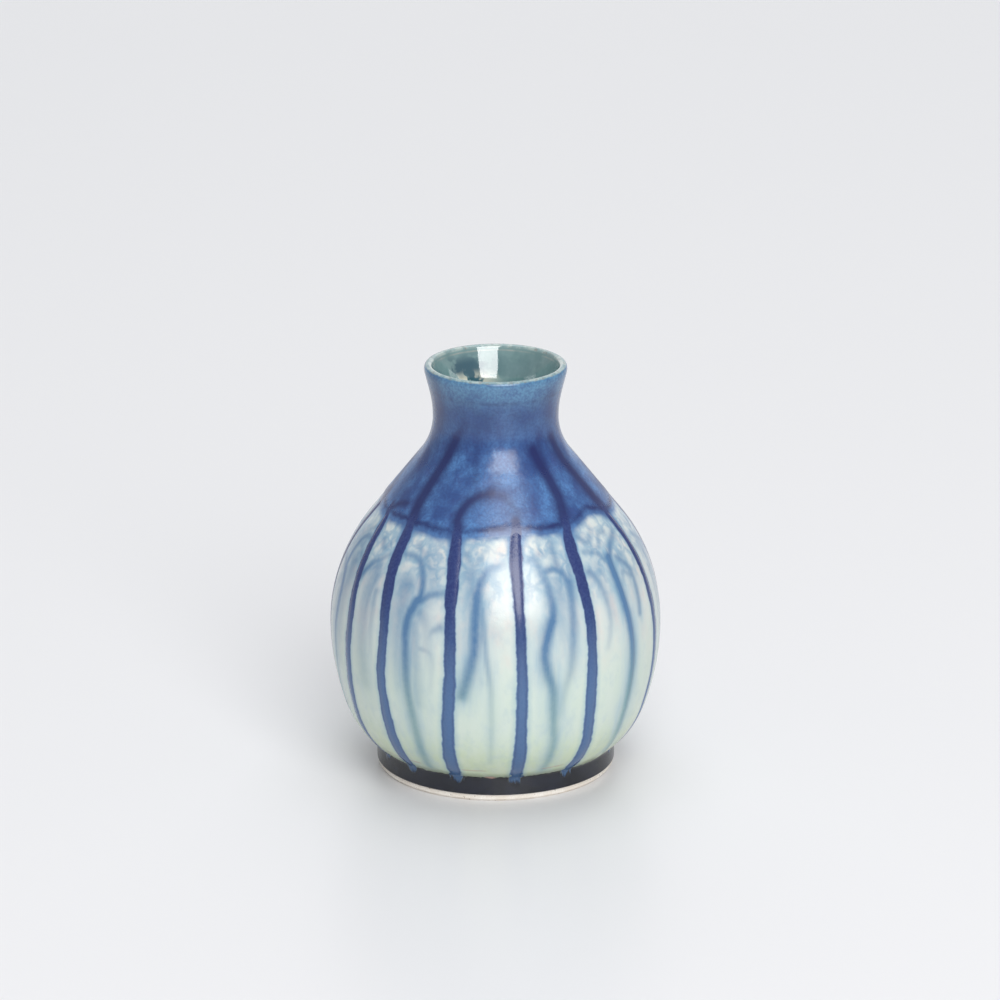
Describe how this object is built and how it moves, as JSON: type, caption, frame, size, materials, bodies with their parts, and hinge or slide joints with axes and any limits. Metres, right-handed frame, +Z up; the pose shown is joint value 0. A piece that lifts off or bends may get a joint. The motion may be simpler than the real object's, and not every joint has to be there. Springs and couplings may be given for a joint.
{
  "type": "bud vase",
  "caption": "Small wheel-thrown ceramic bud vase: round belly, low trimmed foot, sloping shoulder, narrow neck and flared lip, celadon glaze with blue glaze run down it.",
  "frame": {"origin": "middle of the foot, on the surface that the vase stands on", "axes": "+Z up along the vase's axis; the front is -Y and +X is to the right seen from the front"},
  "size_m": [0.0998, 0.0993, 0.125],
  "materials": {
    "stoneware": "matte",
    "celadon_glaze": "gloss",
    "cobalt_glaze": "gloss",
    "run_glaze": "gloss",
    "black_slip": "gloss",
    "liner_glaze": "gloss"
  },
  "bodies": {
    "root": {"blue_collar_glaze": "cobalt_glaze", "celadon_glaze": "celadon_glaze", "clay_body": "stoneware", "foot_band_glaze": "black_slip", "glaze_run_01": "run_glaze", "glaze_run_02": "run_glaze", "glaze_run_03": "run_glaze", "glaze_run_04": "run_glaze", "glaze_run_05": "run_glaze", "glaze_run_06": "run_glaze", "glaze_run_07": "run_glaze", "glaze_run_08": "run_glaze", "glaze_run_09": "run_glaze", "glaze_run_10": "run_glaze", "glaze_run_11": "run_glaze", "glaze_run_12": "run_glaze", "glaze_run_13": "run_glaze", "glaze_run_14": "run_glaze", "glaze_run_15": "run_glaze", "liner_glaze": "liner_glaze"}
  },
  "joints": []
}
